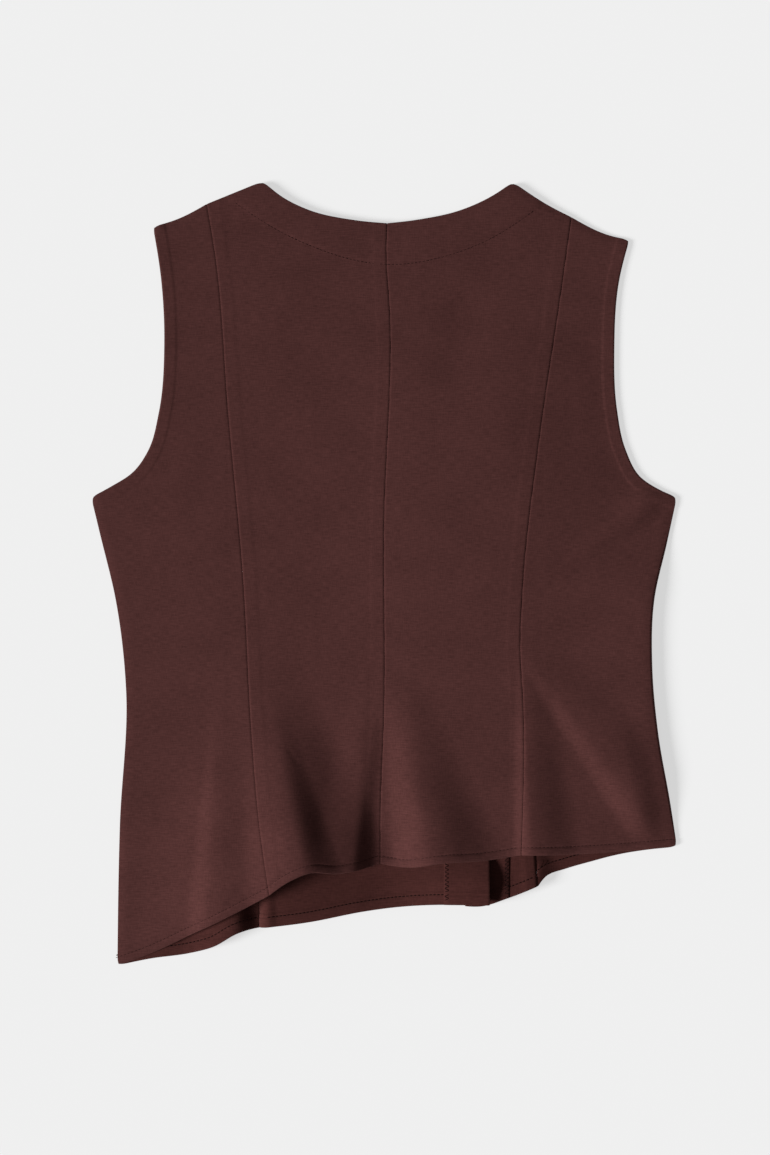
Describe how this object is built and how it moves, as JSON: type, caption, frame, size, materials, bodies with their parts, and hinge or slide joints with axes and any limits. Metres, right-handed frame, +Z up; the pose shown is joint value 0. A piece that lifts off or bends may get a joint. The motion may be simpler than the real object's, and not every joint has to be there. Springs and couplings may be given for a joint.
{
  "type": "woven vest",
  "caption": "Sleeveless woven vest laid flat with its back up: princess-seamed panels, a scooped back neck and a slanted hem that is longer on one side.",
  "frame": {"origin": "on the floor, under the middle of the vest's outline as it lies", "axes": "+X to the wearer's right, which is the right of the vest as it lies back up; +Y to the neck; +Z up, out of the back"},
  "size_m": [0.468, 0.626, 0.0259],
  "materials": {
    "cloth": "matte brown plain weave with short slubs",
    "cloth_inside": "inside of the same matte brown plain weave",
    "button": "dark brown satin"
  },
  "bodies": {
    "root": {"back_side_left": "cloth", "back_center_left": "cloth", "back_center_right": "cloth", "back_side_right": "cloth", "back_neck_facing": "cloth_inside", "front_side_left": "cloth", "front_center_left": "cloth", "front_center_right": "cloth", "front_side_right": "cloth", "front_facing_left": "cloth_inside", "front_facing_right": "cloth_inside", "button_1": "button", "button_2": "button", "button_3": "button", "button_4": "button", "button_5": "button"}
  },
  "joints": []
}
